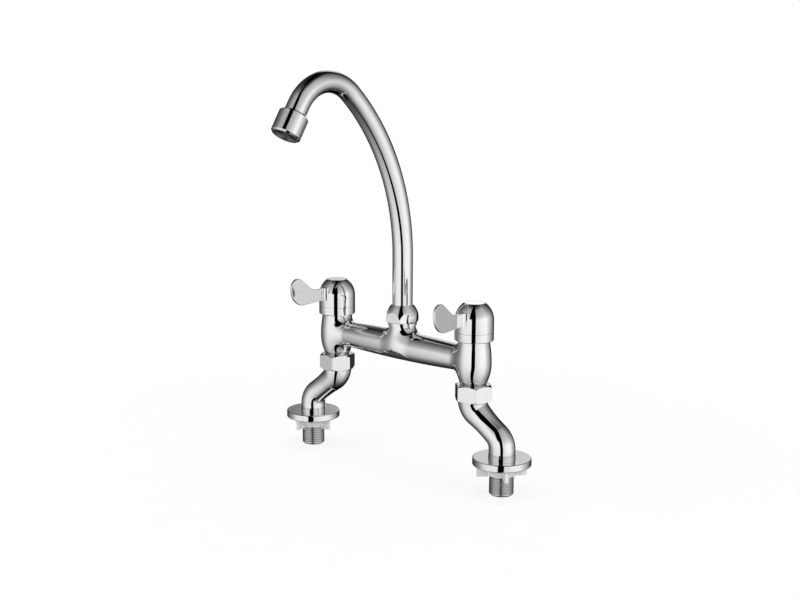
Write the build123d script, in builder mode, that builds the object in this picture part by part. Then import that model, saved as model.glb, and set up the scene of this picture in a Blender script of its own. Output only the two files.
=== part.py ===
from build123d import *
import os
from math import cos, radians, sin, tan

# Bridge kitchen faucet: two valve bodies joined by a bridge tube, a swivelling swan-neck
# spout on the bridge, and two cranked legs that carry it to a deck.
# Millimetres. +Z up, +X along the bridge, -Y towards the user.
# The origin is on the deck plane, midway between the two threaded tails.

# ---- driving dimensions: layout ---------------------------------------------------------
body_spacing = 165.0          # between the axes of the two valve bodies
leg_crank = 29.5              # how far each tail stands from its valve body's axis
leg_turn = 7.5                # degrees both legs stand swung about those axes
leg_height = 56.5             # deck to the top face of a leg
bridge_rise = 20.2            # valve body's neck to the bridge tube's axis
barrel_height = 37.9          # valve body, from its neck to its top face
running_gap = 0.1             # radial clearance of what turns or slides
face_gap = 0.05               # between faces that turn on each other
slip_gap = 0.02               # radial clearance of what is pressed or brazed together

# ---- leg, tail and what clamps it to the deck --------------------------------------------
tail_length = 26.2            # threaded tail below the deck plane
tail_radius = 10.4775         # half of the 20.955 mm pipe thread
thread_pitch = 1.814
thread_depth = 0.9
crest_width = 0.9
run_out_relief = 0.1775       # the crests nearest the deck are cut this much lower
tail_chamfer = 1.2
leg_bore = 6.5
leg_foot_step = 1.0           # leg above the flange's hub, beyond the tail's plain neck
leg_waist_radius = 10.3       # leg at its middle
leg_head_radius = 13.2        # thread under the union nut, 26.4 mm across
foot_bend_height = 20.5       # where the tail's axis would meet the slanted run
head_bend_height = 44.3       # where the slanted run would meet the body's axis
foot_bend_radius = 16.0
head_bend_radius = 11.0

flange_radius = 25.0
flange_thickness = 6.3
flange_edge = 0.9
hub_edge = 0.35
hub_wall = 1.2
hub_height = 2.4
gasket_radius = 22.3
gasket_thickness = 2.0

backnut_wall = 2.6            # ring around the thread it runs on
backnut_ring_height = 8.0
backnut_wing_reach = 21.5
backnut_wing_height = 10.0
backnut_wing_thickness = 2.8
backnut_wing_root = 1.5       # how far a wing reaches into the ring
backnut_wings = 4
wing_turn = {"left": 0.0, "right": 50.5}      # degrees, from the front towards +X

# ---- union between a leg and a valve body ------------------------------------------------
union_nut_wall = 1.3          # flats beyond the thread inside
union_nut_height = 14.3
union_nut_roof = 3.2
union_nut_bevel = 2.5         # radial, from the corners inwards
union_nut_bevel_height = 1.7
union_nut_turn = {"left": 29.0, "right": 48.0}
union_washer_thickness = 2.0
union_washer_inset = 0.5      # radial, inside the nut's thread
spigot_radius = 9.6
spigot_length = 7.1           # below the valve body's neck
clip_inset = 0.7              # radial, inside the nut's thread
clip_thickness = 1.5
clip_groove_depth = 1.0
clip_opening = 50.0           # degrees left open in the split ring
neck_gap = 0.2

# ---- bridge body -------------------------------------------------------------------------
barrel_neck_radius = 11.0
barrel_swell = 2.0            # belly beyond the barrel's top
barrel_belly_rise = 17.4      # above the neck
barrel_wall = 3.05            # around the chamber, at the top
inlet_bore = 6.0
seat_rise = 12.4              # valve seat above the neck
bridge_flank = 1.1            # tube's middle beyond the tee's boss
bridge_end_radius = 10.2
bridge_bore = 7.5
bridge_root_fillet = 4.0
tee_waist = 1.2               # boss inside the collar's edge
tee_blend = 5.5               # concave blend between the tee's boss and the tube
tee_collar_ledge = 1.4        # collar beyond the thread above it
tee_stand = 5.8               # tube's top to the collar's lower edge
tee_collar_height = 3.3
tee_thread_ease = 0.4         # thread beyond the spigot's collar
tee_thread_length = 5.0
tee_floor_rise = 8.4
tee_passage = 5.5

# ---- headwork: the quarter-turn valve inside each body -------------------------------------
seal_height = 2.2
cartridge_radius = 9.0
cartridge_wall = 1.4
disc_thickness = 3.2
port_rim = 2.0                # of a disc outside its ports
port_inner_radius = 1.4
port_angle = 70.0             # each disc has two such sector ports
driver_height = 3.95
key_width = 3.0
key_depth = 1.4
key_inset = 0.35              # each end, inside the driver's rim
journal_radius = 5.4
window_width = 9.0
headwork_thread_step = 1.05   # thread beyond the cartridge
headwork_thread_length = 10.5
headwork_hex_ledge = 0.95     # flats beyond the thread
headwork_hex_height = 4.7
headwork_collar_radius = 7.5
headwork_collar_height = 2.3
spindle_clip_radius = 6.8
spindle_clip_thickness = 0.8
spindle_clip_depth = 0.9
spline_teeth = 20
spline_radius = 4.0
spline_tooth = 0.35
spline_length = 9.8
spindle_ring_section = 0.68
spindle_ring_rises = (5.9, 10.9)              # above the driver's top face
screw_radius = 1.95
screw_depth = 8.5

# ---- cover ring and lever handle ---------------------------------------------------------
spanner_room = 1.9            # around the hexagon's corners, inside the cover
cover_height = 7.3
cover_wall = 2.0
cover_web = 2.0
cover_edge = 0.6
seam_gap = 0.2
handle_height = 24.5
handle_straight = 9.5
dome_radius = 18.9
cavity_wall = 2.2
cavity_height = 8.0
hub_boss_radius = 7.0
screw_head_radius = 3.5
screw_head_height = 2.6
screw_socket_flats = 2.5
screw_seat = 2.5
cap_radius = 8.8
cap_thickness = 1.9
cap_stem_length = 3.1

lever_turn = {"left": 0.0, "right": 5.0}      # degrees each lever stands turned towards +X
lever_thickness = 2.4
lever_neck_low = 6.7          # lower edge of the neck above the handle's bottom
lever_neck_height = 11.3
lever_neck_length = 14.4      # from the dome's side to where the upper edge starts to rise
lever_root_length = 3.4       # from the dome's side to where the plate is plain
lever_root_round = 4.5        # concave blend between the plate and the dome
lever_root_sweep = 70.0       # degrees of that blend
lever_reach = 57.4            # body axis to the paddle's tip
lever_slope = 38.4            # degrees the paddle's upper edge rises
lever_heel_length = 7.4       # from the dome's side to where the lower edge starts to drop
lever_drop = 2.0              # and how far it drops by the tip
lever_top_round = 7.8
lever_low_round = 15.0
lever_neck_round = 14.0
lever_edge = 0.5

# ---- swivelling spout --------------------------------------------------------------------
spout_radius = 9.0
spout_wall = 1.0
spout_straight = 50.9         # upright run above the spigot's collar
neck_large_radius = 191.5
neck_large_turn = 48.5
neck_small_radius = 38.0
outlet_tilt = 32.0            # outlet axis from the vertical
outlet_straight = 8.0         # straight run before the outlet's housing
spigot_plug_length = 17.7
spigot_collar_ledge = 2.0     # collar beyond the tube that stands on it
spigot_collar_height = 1.5
spigot_stem_length = 9.8
spigot_bore = 5.5
spigot_ring_section = 0.85
spigot_ring_rises = (4.0, 9.0)                # above the spigot's lower end
slip_ring_thickness = 1.3
spout_nut_wall = 2.0          # flats beyond the thread inside
spout_nut_height = 15.3
spout_nut_straight = 2.0       # the corners' upright run, under the dome
spout_nut_swell = 0.8         # how far the dome bulges past a plain cone
spout_nut_lip = 0.8           # at its top edge, beyond the tube
spout_nut_bevel = 1.2
spout_nut_turn = 33.5

# ---- outlet --------------------------------------------------------------------------------
aerator_step = 3.3            # housing beyond the tube
aerator_length = 20.0
aerator_shoulder = 1.6
aerator_socket = 8.0          # how far the spout's end reaches into it
aerator_wall = 1.1
aerator_lip = 1.4
aerator_rim = 1.6             # width of the bright rim round the face
aerator_washer_thickness = 1.5
aerator_washer_bore = 6.5
mesh_thickness = 0.7
mesh_rings = {3.2: 8, 6.0: 16, 8.6: 24}       # radius of each ring of holes: how many
mesh_hole_radius = 0.75
insert_vanes = 8
insert_hub_radius = 3.0
insert_rim = 1.2
insert_vane_thickness = 1.0

# ---- small edges and allowances -----------------------------------------------------------------
small_edge = 0.4              # bevels on turned corners
nut_edge = 0.5                # rounding of a hexagon's upright edges
merge = 1.0                   # how far a turned piece reaches into the body it grows from
groove_ease = 1.2             # a ring's groove against the ring's own section
blend_margin = 0.2            # left between the tee's blend and its collar

# ---- radii worked out from the above --------------------------------------------------------
corner_share = 1 / cos(radians(30))           # a hexagon's corner against half its flats
neck_radius = tail_radius - run_out_relief
leg_foot_radius = neck_radius + leg_foot_step
leg_radii = [                 # at even steps along the leg's run, from the foot up
    leg_foot_radius, leg_foot_radius, leg_foot_radius - 0.4, leg_waist_radius + 0.1,
    leg_waist_radius, leg_waist_radius + 0.4, leg_waist_radius + 1.2,
    leg_head_radius - 0.8, leg_head_radius]
flange_bore = neck_radius + running_gap
hub_radius = flange_bore + hub_wall
backnut_bore = tail_radius + running_gap + slip_gap
backnut_ring_radius = backnut_bore + backnut_wall
union_nut_flats = 2 * (leg_head_radius + union_nut_wall)
union_nut_corner = union_nut_flats / 2 * corner_share
union_washer_radius = leg_head_radius - union_washer_inset
clip_radius = leg_head_radius - clip_inset

cartridge_bore = cartridge_radius - cartridge_wall
driver_radius = cartridge_bore - 3 * running_gap
port_radius = cartridge_bore - port_rim
key_length = 2 * (driver_radius - key_inset)
headwork_thread_radius = cartridge_radius + headwork_thread_step
headwork_hex_flats = 2 * (headwork_thread_radius + headwork_hex_ledge)
headwork_hex_corner = headwork_hex_flats / 2 * corner_share
chamber_radius = headwork_thread_radius + running_gap
barrel_top_radius = chamber_radius + barrel_wall
barrel_belly_radius = barrel_top_radius + barrel_swell
cover_radius = headwork_hex_corner + spanner_room + cover_wall
lever_root_end = cover_radius + lever_root_length
lever_heel = cover_radius + lever_heel_length
lever_neck_end = cover_radius + lever_neck_length
spindle_ring_floor = journal_radius + running_gap - 2 * spindle_ring_section - slip_gap
spindle_clip_floor = journal_radius - spindle_clip_depth

spigot_collar_radius = spout_radius + spigot_collar_ledge
tee_bore = spout_radius       # the spigot's plug is as wide as the tube
tee_thread_radius = spigot_collar_radius + tee_thread_ease
tee_collar_radius = tee_thread_radius + tee_collar_ledge
tee_radius = tee_collar_radius - tee_waist
bridge_middle_radius = tee_radius + bridge_flank
spout_nut_flats = 2 * (tee_thread_radius + spout_nut_wall)
spout_nut_corner = spout_nut_flats / 2 * corner_share
spout_nut_lip_radius = spout_radius + spout_nut_lip
aerator_radius = spout_radius + aerator_step
aerator_lip_radius = aerator_radius - aerator_rim

# ---- heights worked out from the above -----------------------------------------------------
half_spacing = body_spacing / 2
tail_reach = half_spacing + leg_crank * cos(radians(leg_turn))
tail_swing = leg_crank * sin(radians(leg_turn))
sides = {"left": -1, "right": 1}

hub_top = flange_thickness + hub_height
spigot_end = leg_height + union_washer_thickness
neck_z = spigot_end + spigot_length
union_nut_top = neck_z - neck_gap
union_nut_bottom = union_nut_top - union_nut_height
union_shoulder = union_nut_top - union_nut_roof
clip_top = union_shoulder - face_gap
barrel_top = neck_z + barrel_height
bridge_z = neck_z + bridge_rise
seat_z = neck_z + seat_rise

disc_z = seat_z + seal_height
moving_disc_z = disc_z + disc_thickness + face_gap
driver_z = moving_disc_z + disc_thickness + face_gap
driver_top = driver_z + driver_height
cartridge_top = driver_top + running_gap
web_top = barrel_top + cover_web
headwork_hex_top = web_top + headwork_hex_height
headwork_top = headwork_hex_top + headwork_collar_height
spindle_clip_z = headwork_top + running_gap
journal_top = spindle_clip_z + 2 * spindle_clip_thickness
spindle_top = journal_top + spline_length

cover_top = barrel_top + cover_height
handle_z = cover_top + seam_gap
handle_top = handle_z + handle_height
cavity_top = handle_z + cavity_height
screw_seat_z = spindle_top + running_gap + screw_seat
cap_z = handle_top - cap_thickness

tee_collar_z = bridge_z + bridge_middle_radius + tee_stand
tee_thread_z = tee_collar_z + tee_collar_height
tee_top = tee_thread_z + tee_thread_length
tee_floor = bridge_z + tee_floor_rise
spout_nut_z = tee_thread_z + face_gap
spout_nut_top = spout_nut_z + spout_nut_height
spigot_collar_z = tee_top + face_gap
spout_z = spigot_collar_z + spigot_collar_height
slip_ring_top = spout_z + face_gap + slip_ring_thickness
spout_nut_shoulder = slip_ring_top + face_gap
spigot_plug_z = spigot_collar_z - spigot_plug_length

# ---- shared helpers ------------------------------------------------------------------------
os.makedirs("parts", exist_ok=True)


def finish(piece, label):
    """Names a finished piece and writes it."""
    piece.part.label = label
    export_step(piece.part, f"parts/{label}.step")


def upright(x, y=0.0):
    """Drawing plane through a vertical axis: local X is the radius, away from the middle."""
    outward = -1 if x < 0 else 1
    return Plane(origin=(x, y, 0), x_dir=(outward, 0, 0), z_dir=(0, -outward, 0))


def level(x, z, y=0.0, turn=0.0):
    """Level drawing plane centred on a vertical axis, its X turned by so many degrees."""
    return Plane(origin=(x, y, z), x_dir=(cos(radians(turn)), sin(radians(turn)), 0))


def vertical(x, y=0.0):
    return Axis((x, y, 0), (0, 0, 1))


def turned(x, outline, y=0.0):
    """Adds to the current part what an outline of (radius, height) points sweeps about an axis."""
    with BuildSketch(upright(x, y)) as section:
        with BuildLine():
            Polyline(*outline, close=True)
        make_face()
    revolve(section.sketch, axis=vertical(x, y))


def bored(x, radius, low, high, y=0.0):
    """Cuts a round hole about a vertical axis out of the current part."""
    with BuildSketch(level(x, low, y)) as hole:
        Circle(radius)
    extrude(hole.sketch, amount=high - low, mode=Mode.SUBTRACT)


def plain_ring(plane, inner, outer, height):
    """A flat ring standing on a plane."""
    with BuildPart() as ring:
        with BuildSketch(plane):
            Circle(outer)
            Circle(inner, mode=Mode.SUBTRACT)
        extrude(amount=height)
    return ring


def split_ring(plane, inner, outer, height, opening):
    """A spring clip: a flat ring with a gap of so many degrees."""
    with BuildPart() as ring:
        with BuildSketch(plane):
            Circle(outer)
            Circle(inner, mode=Mode.SUBTRACT)
            with BuildLine():
                far = 2 * outer
                half = radians(opening / 2)
                Polyline((0, 0), (far * cos(half), far * sin(half)),
                         (far * cos(half), -far * sin(half)), close=True)
            make_face(mode=Mode.SUBTRACT)
        extrude(amount=height)
    return ring


def o_rings(x, centre_radius, section, heights):
    """Round-section rubber rings about the axis at x, as one group."""
    with BuildPart() as rings:
        for height in heights:
            with BuildSketch(upright(x)):
                with Locations((centre_radius, height)):
                    Circle(section)
            revolve(axis=vertical(x))
    return rings


def groove_outline(radius, floor, height, section):
    """Outline points of a groove that holds a round ring of the given section radius."""
    low, high = height - groove_ease * section, height + groove_ease * section
    return [(radius, low), (floor, low), (floor, high), (radius, high)]


def hex_trim(x, flats, low, high, corner_turn):
    """Trims the current part to a hexagon with one corner at an angle from the front to +X."""
    with BuildSketch(level(x, low)) as hexagon:
        RegularPolygon(flats / 2, 6, major_radius=False, rotation=corner_turn - 90)
    extrude(hexagon.sketch, amount=high - low, mode=Mode.INTERSECT)


def spline_outline(allowance):
    """Points of the toothed outline that joins a spindle and its handle."""
    points = []
    for i in range(2 * spline_teeth):
        radius = spline_radius + allowance - spline_tooth * (i % 2)
        angle = radians(i * 180 / spline_teeth)
        points.append((radius * cos(angle), radius * sin(angle)))
    return points


# ---- bridge body: both valve bodies, the tube between them and the spout's tee ---------------
with BuildPart() as bridge_body:
    with BuildSketch(Plane.XZ):
        with BuildLine():
            low_end = bridge_z - bridge_end_radius
            Polyline((-half_spacing, low_end), (-half_spacing, bridge_z), (half_spacing, bridge_z),
                     (half_spacing, low_end))
            ThreePointArc((half_spacing, low_end), (0, bridge_z - bridge_middle_radius),
                          (-half_spacing, low_end))
        make_face()
    revolve(axis=Axis((0, 0, bridge_z), (1, 0, 0)))

    with BuildSketch(level(0, bridge_z)):
        Circle(tee_radius)
    extrude(amount=tee_collar_z - bridge_z)
    tee_edges = bridge_body.edges().filter_by(GeomType.BSPLINE)
    fillet(tee_edges, min(tee_blend, tee_stand - blend_margin))

    for way in sides.values():
        x = way * half_spacing
        belly_z = neck_z + barrel_belly_rise
        with BuildSketch(upright(x)):
            with BuildLine():
                foot = (barrel_neck_radius, neck_z)
                belly = (barrel_belly_radius, belly_z)
                head = (barrel_top_radius, barrel_top)
                TangentArc(belly, foot, tangent=(0, -1))
                TangentArc(belly, head, tangent=(0, 1))
                Polyline(head, (0, barrel_top), (0, neck_z), foot)
            make_face()
        revolve(axis=vertical(x))
    root_edges = bridge_body.edges().filter_by(GeomType.BSPLINE).filter_by(
        lambda edge: abs(edge.center().X) > half_spacing / 2)
    fillet(root_edges, bridge_root_fillet)

    # the tee's collar and the thread that takes the spout's nut
    turned(0, [(0, bridge_z), (tee_radius, tee_collar_z - merge), (tee_radius, tee_collar_z),
               (tee_collar_radius, tee_collar_z + small_edge),
               (tee_collar_radius, tee_thread_z - small_edge),
               (tee_collar_radius - small_edge, tee_thread_z),
               (tee_thread_radius, tee_thread_z), (tee_thread_radius, tee_top), (0, tee_top)])

    # spigots under the valve bodies, grooved for the clips that hold the union nuts
    for way in sides.values():
        x = way * half_spacing
        groove = spigot_radius - clip_groove_depth
        clip_bottom = clip_top - clip_thickness
        turned(x, [(0, neck_z + merge), (spigot_radius, neck_z + merge),
                   (spigot_radius, clip_top + face_gap), (groove, clip_top + face_gap),
                   (groove, clip_bottom - face_gap), (spigot_radius, clip_bottom - face_gap),
                   (spigot_radius, spigot_end), (0, spigot_end)])

    # waterways
    with BuildSketch(Plane(origin=(-half_spacing, 0, bridge_z), z_dir=(1, 0, 0))):
        Circle(bridge_bore)
    extrude(amount=body_spacing, mode=Mode.SUBTRACT)
    bored(0, tee_passage, bridge_z, tee_top)
    bored(0, tee_bore, tee_floor, tee_top)
    for way in sides.values():
        bored(way * half_spacing, inlet_bore, spigot_end, seat_z)
        bored(way * half_spacing, chamber_radius, seat_z, barrel_top)
finish(bridge_body, "bridge_body")

# ---- each side's leg, union, headwork and handle ---------------------------------------------
for side, way in sides.items():
    x = way * half_spacing
    tail_x, tail_y = way * tail_reach, way * tail_swing
    swung = (way * cos(radians(leg_turn)), way * sin(radians(leg_turn)), 0)

    # cranked leg with its threaded tail, drawn in the plane of its own two axes
    leg_plane = Plane(origin=(x, 0, 0), x_dir=swung, z_dir=Vector(swung).cross(Vector(0, 0, 1)))
    foot_corner = (leg_crank, foot_bend_height)
    head_corner = (0, head_bend_height)
    bends = (foot_bend_radius, head_bend_radius)
    with BuildPart() as leg:
        with BuildLine(leg_plane) as crank:
            FilletPolyline((leg_crank, flange_thickness), foot_corner, head_corner,
                           (0, union_nut_bottom), radius=bends)
        for step, radius in enumerate(leg_radii):
            share = step / (len(leg_radii) - 1)
            spot = crank.line @ share
            heading = crank.line % share
            with BuildSketch(Plane(origin=spot, x_dir=leg_plane.z_dir, z_dir=heading)):
                Circle(radius)
        loft()
        split(bisect_by=Plane.XY.offset(hub_top))
        with BuildSketch(level(x, union_nut_bottom)):
            Circle(leg_head_radius)
        extrude(amount=leg_height - union_nut_bottom)

        # tail: a plain neck through the flange, then ring-shaped thread crests
        flank = (thread_pitch - crest_width) / 2
        crest_z = 0.0
        outline = [(0, hub_top), (neck_radius, hub_top)]
        while crest_z - thread_pitch > tail_chamfer - tail_length:
            radius = tail_radius if crest_z < -backnut_wing_height - small_edge else neck_radius
            outline += [(radius, crest_z), (radius, crest_z - crest_width),
                        (radius - thread_depth, crest_z - crest_width - flank)]
            crest_z -= thread_pitch
        outline += [(tail_radius, crest_z), (tail_radius, tail_chamfer - tail_length),
                    (tail_radius - tail_chamfer, -tail_length), (0, -tail_length)]
        turned(tail_x, outline, tail_y)

        # waterway
        with BuildLine(leg_plane) as bore_line:
            FilletPolyline((leg_crank, -tail_length), foot_corner, head_corner, (0, leg_height),
                           radius=bends)
        with BuildSketch(level(tail_x, -tail_length, tail_y)):
            Circle(leg_bore)
        sweep(path=bore_line.line, mode=Mode.SUBTRACT)
    finish(leg, f"leg_{side}")

    # flange that covers the deck hole, and its gasket
    with BuildPart() as flange:
        recess = gasket_radius + running_gap
        turned(tail_x, [(flange_bore, gasket_thickness), (recess, gasket_thickness), (recess, 0),
                        (flange_radius, 0), (flange_radius, flange_thickness),
                        (hub_radius, flange_thickness), (hub_radius, hub_top),
                        (flange_bore, hub_top)], tail_y)
        rims = flange.edges().filter_by(GeomType.CIRCLE).sort_by(lambda edge: edge.radius)[-2:]
        fillet(rims, flange_edge)
        hub_rim = flange.edges().filter_by(GeomType.CIRCLE).group_by(Axis.Z)[-1].sort_by(
            lambda edge: edge.radius)[-1]
        fillet(hub_rim, hub_edge)
    finish(flange, f"flange_{side}")
    finish(plain_ring(level(tail_x, 0, tail_y), tail_radius + running_gap, gasket_radius,
                      gasket_thickness), f"deck_gasket_{side}")

    # winged plastic backnut under the deck
    with BuildPart() as backnut:
        with BuildSketch(level(tail_x, -backnut_ring_height, tail_y)):
            Circle(backnut_ring_radius)
        extrude(amount=backnut_ring_height)
        with BuildSketch(level(tail_x, -backnut_wing_height, tail_y)):
            inner = backnut_ring_radius - backnut_wing_root
            wing_length = backnut_wing_reach - inner
            with PolarLocations(inner + wing_length / 2, backnut_wings,
                                start_angle=wing_turn[side] - 90):
                Rectangle(wing_length, backnut_wing_thickness)
        extrude(amount=backnut_wing_height)
        bored(tail_x, backnut_bore, -backnut_wing_height, 0, tail_y)
    finish(backnut, f"backnut_{side}")

    # union nut, held on the valve body's spigot by a split ring, and the washer it squeezes
    with BuildPart() as union_nut:
        bevel_radius = union_nut_corner - union_nut_bevel
        turned(x, [(0, union_nut_bottom), (bevel_radius, union_nut_bottom),
                   (union_nut_corner, union_nut_bottom + union_nut_bevel_height),
                   (union_nut_corner, union_nut_top - union_nut_bevel_height),
                   (bevel_radius, union_nut_top), (0, union_nut_top)])
        hex_trim(x, union_nut_flats, union_nut_bottom, union_nut_top, union_nut_turn[side])
        fillet(union_nut.edges().filter_by(Axis.Z), nut_edge)
        bored(x, leg_head_radius + running_gap, union_nut_bottom, union_shoulder)
        bored(x, spigot_radius + running_gap, union_shoulder, union_nut_top)
    finish(union_nut, f"union_nut_{side}")
    finish(split_ring(level(x, clip_top - clip_thickness),
                      spigot_radius - clip_groove_depth + face_gap, clip_radius,
                      clip_thickness, clip_opening), f"union_clip_{side}")
    finish(plain_ring(level(x, leg_height), leg_bore, union_washer_radius,
                      union_washer_thickness), f"union_washer_{side}")

    # cover ring clamped between the valve body and the headwork
    with BuildPart() as cover_ring:
        turned(x, [(headwork_thread_radius + running_gap, barrel_top),
                   (cover_radius - cover_edge, barrel_top), (cover_radius, barrel_top + cover_edge),
                   (cover_radius, cover_top), (cover_radius - cover_wall, cover_top),
                   (cover_radius - cover_wall, web_top),
                   (headwork_thread_radius + running_gap, web_top)])
    finish(cover_ring, f"cover_ring_{side}")

    # headwork housing: screwed into the valve body, with windows towards the bridge
    with BuildPart() as headwork:
        turned(x, [(0, web_top), (headwork_hex_corner, web_top),
                   (headwork_hex_corner, headwork_hex_top), (0, headwork_hex_top)])
        hex_trim(x, headwork_hex_flats, web_top, headwork_hex_top, 0)
        turned(x, [(0, disc_z), (cartridge_radius, disc_z),
                   (cartridge_radius, web_top - headwork_thread_length),
                   (headwork_thread_radius, web_top - headwork_thread_length + merge),
                   (headwork_thread_radius, web_top), (headwork_collar_radius, web_top),
                   (headwork_collar_radius, headwork_top), (0, headwork_top)])
        bored(x, cartridge_bore, disc_z, cartridge_top)
        bored(x, journal_radius + running_gap, cartridge_top, headwork_top)
        with BuildSketch(level(x, moving_disc_z)):
            Rectangle(4 * cartridge_radius, window_width)
        extrude(amount=2 * disc_thickness, mode=Mode.SUBTRACT)
    finish(headwork, f"headwork_{side}")
    finish(plain_ring(level(x, seat_z), inlet_bore, cartridge_radius, seal_height),
           f"seat_seal_{side}")

    # the two lapped ceramic discs: closed at rest, so their ports stand a quarter turn apart
    for name, base, radius, disc_turn, port_turn in (
            ("fixed_disc", disc_z, cartridge_bore - running_gap, 0, 0),
            ("moving_disc", moving_disc_z, cartridge_bore - 2 * running_gap,
             lever_turn[side], 90)):
        with BuildPart() as disc:
            with BuildSketch(level(x, base, turn=disc_turn)):
                Circle(radius)
                for turn in (port_turn, port_turn + 180):
                    with BuildLine():
                        low, high = turn - port_angle / 2, turn + port_angle / 2
                        inner_arc = CenterArc((0, 0), port_inner_radius, low, port_angle)
                        outer_arc = CenterArc((0, 0), port_radius, low, port_angle)
                        Line(inner_arc @ 0, outer_arc @ 0)
                        Line(inner_arc @ 1, outer_arc @ 1)
                    make_face(mode=Mode.SUBTRACT)
            extrude(amount=disc_thickness)
            if name == "moving_disc":
                with BuildSketch(level(x, base + disc_thickness, turn=disc_turn)):
                    Rectangle(key_width + running_gap, 2 * radius + merge)
                extrude(amount=-key_depth - running_gap, mode=Mode.SUBTRACT)
        finish(disc, f"{name}_{side}")

    # spindle: key, driver, grooved journal, clip groove and splined head
    with BuildPart() as spindle:
        outline = [(0, driver_z), (driver_radius, driver_z), (driver_radius, driver_top),
                   (journal_radius, driver_top)]
        for rise in spindle_ring_rises:
            outline += groove_outline(journal_radius, spindle_ring_floor - slip_gap,
                                      driver_top + rise, spindle_ring_section)
        clip_groove_top = spindle_clip_z + spindle_clip_thickness + face_gap
        outline += [(journal_radius, spindle_clip_z), (spindle_clip_floor, spindle_clip_z),
                    (spindle_clip_floor, clip_groove_top), (journal_radius, clip_groove_top),
                    (journal_radius, journal_top), (0, journal_top)]
        turned(x, outline)
        with BuildSketch(level(x, driver_z, turn=lever_turn[side])):
            Rectangle(key_width, key_length)
        extrude(amount=-key_depth)
        with BuildSketch(level(x, journal_top, turn=lever_turn[side])):
            with BuildLine():
                Polyline(*spline_outline(0), close=True)
            make_face()
        extrude(amount=spline_length)
        bored(x, screw_radius + face_gap, spindle_top - screw_depth - small_edge, spindle_top)
    finish(spindle, f"spindle_{side}")
    finish(o_rings(x, spindle_ring_floor + spindle_ring_section, spindle_ring_section,
                   [driver_top + rise for rise in spindle_ring_rises]), f"spindle_rings_{side}")
    finish(split_ring(level(x, spindle_clip_z), spindle_clip_floor + face_gap,
                      spindle_clip_radius, spindle_clip_thickness, clip_opening),
           f"spindle_clip_{side}")

    # lever handle: hollow dome with a splined boss, and a flat paddle towards the front
    with BuildPart() as handle:
        shoulder_z = handle_z + handle_straight
        dome_centre = cover_radius - dome_radius
        flat_radius = dome_centre + (dome_radius**2 - (handle_top - shoulder_z)**2) ** 0.5
        with BuildSketch(upright(x)):
            with BuildLine():
                Polyline((flat_radius, handle_top), (0, handle_top), (0, handle_z),
                         (cover_radius, handle_z), (cover_radius, shoulder_z))
                TangentArc((cover_radius, shoulder_z), (flat_radius, handle_top), tangent=(0, 1))
            make_face()
        revolve(axis=vertical(x))

        turn = lever_turn[side]
        across = Vector(cos(radians(turn)), sin(radians(turn)), 0)
        lever_plane = Plane(origin=Vector(x, 0, 0) - across * (lever_thickness / 2),
                            x_dir=Vector(0, 0, 1).cross(across), z_dir=across)
        neck_low = handle_z + lever_neck_low
        neck_high = neck_low + lever_neck_height
        inside = -dome_radius / 2
        tip_top = neck_high + (lever_reach - lever_neck_end) * tan(radians(lever_slope))
        with BuildSketch(lever_plane):
            with BuildLine():
                FilletPolyline((inside, neck_high), (-lever_neck_end, neck_high),
                               (-lever_reach, tip_top), (-lever_reach, neck_low - lever_drop),
                               (-lever_heel, neck_low), (inside, neck_low),
                               radius=(lever_neck_round, lever_top_round, lever_low_round,
                                       lever_low_round))
                Line((inside, neck_low), (inside, neck_high))
            make_face()
        extrude(amount=lever_thickness)
        fillet(handle.edges().filter_by(lambda edge: edge.center().Y < -cover_radius - merge)
               .filter_by(lambda edge: abs(edge.tangent_at(0.5).dot(across)) < 0.5), lever_edge)

        with BuildSketch(level(x, neck_low, turn=turn)):
            with BuildLine():
                half = lever_thickness / 2
                centre = half + lever_root_round
                right = CenterArc((centre, -lever_root_end), lever_root_round,
                                  180 - lever_root_sweep, lever_root_sweep)
                left = CenterArc((-centre, -lever_root_end), lever_root_round,
                                 0, lever_root_sweep)
                Line(left @ 0, right @ 1)
                Polyline(left @ 1, ((left @ 1).X, inside), ((right @ 0).X, inside), right @ 0)
            make_face()
        extrude(amount=lever_neck_height)

        # hollow from below, leaving the splined boss
        with BuildSketch(level(x, handle_z)):
            Circle(cover_radius - cavity_wall)
        extrude(amount=cavity_height, mode=Mode.SUBTRACT)
        with BuildSketch(level(x, journal_top + running_gap)):
            Circle(hub_boss_radius)
        extrude(amount=cavity_top - journal_top)
        with BuildSketch(level(x, journal_top, turn=turn)):
            with BuildLine():
                Polyline(*spline_outline(running_gap), close=True)
            make_face()
        extrude(amount=spline_length + running_gap, mode=Mode.SUBTRACT)
        bored(x, screw_radius + running_gap, spindle_top, screw_seat_z)
        bored(x, screw_head_radius + 2 * running_gap, screw_seat_z, cap_z)
        bored(x, cap_radius + face_gap, cap_z, handle_top)
    finish(handle, f"handle_{side}")

    # handle screw with a hexagon socket
    with BuildPart() as screw:
        turned(x, [(0, spindle_top - screw_depth), (screw_radius, spindle_top - screw_depth),
                   (screw_radius, screw_seat_z), (screw_head_radius, screw_seat_z),
                   (screw_head_radius, screw_seat_z + screw_head_height),
                   (0, screw_seat_z + screw_head_height)])
        with BuildSketch(level(x, screw_seat_z + screw_head_height)):
            RegularPolygon(screw_socket_flats / 2, 6, major_radius=False)
        extrude(amount=-screw_head_height / 2, mode=Mode.SUBTRACT)
    finish(screw, f"handle_screw_{side}")

    # blank cap that hides the screw
    with BuildPart() as cap:
        stem_radius = screw_head_radius + running_gap
        stem_end = cap_z - cap_stem_length
        turned(x, [(0, stem_end), (stem_radius, stem_end), (stem_radius, cap_z),
                   (cap_radius, cap_z), (cap_radius, handle_top - small_edge),
                   (cap_radius - small_edge, handle_top), (0, handle_top)])
    finish(cap, f"index_cap_{side}")

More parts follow.
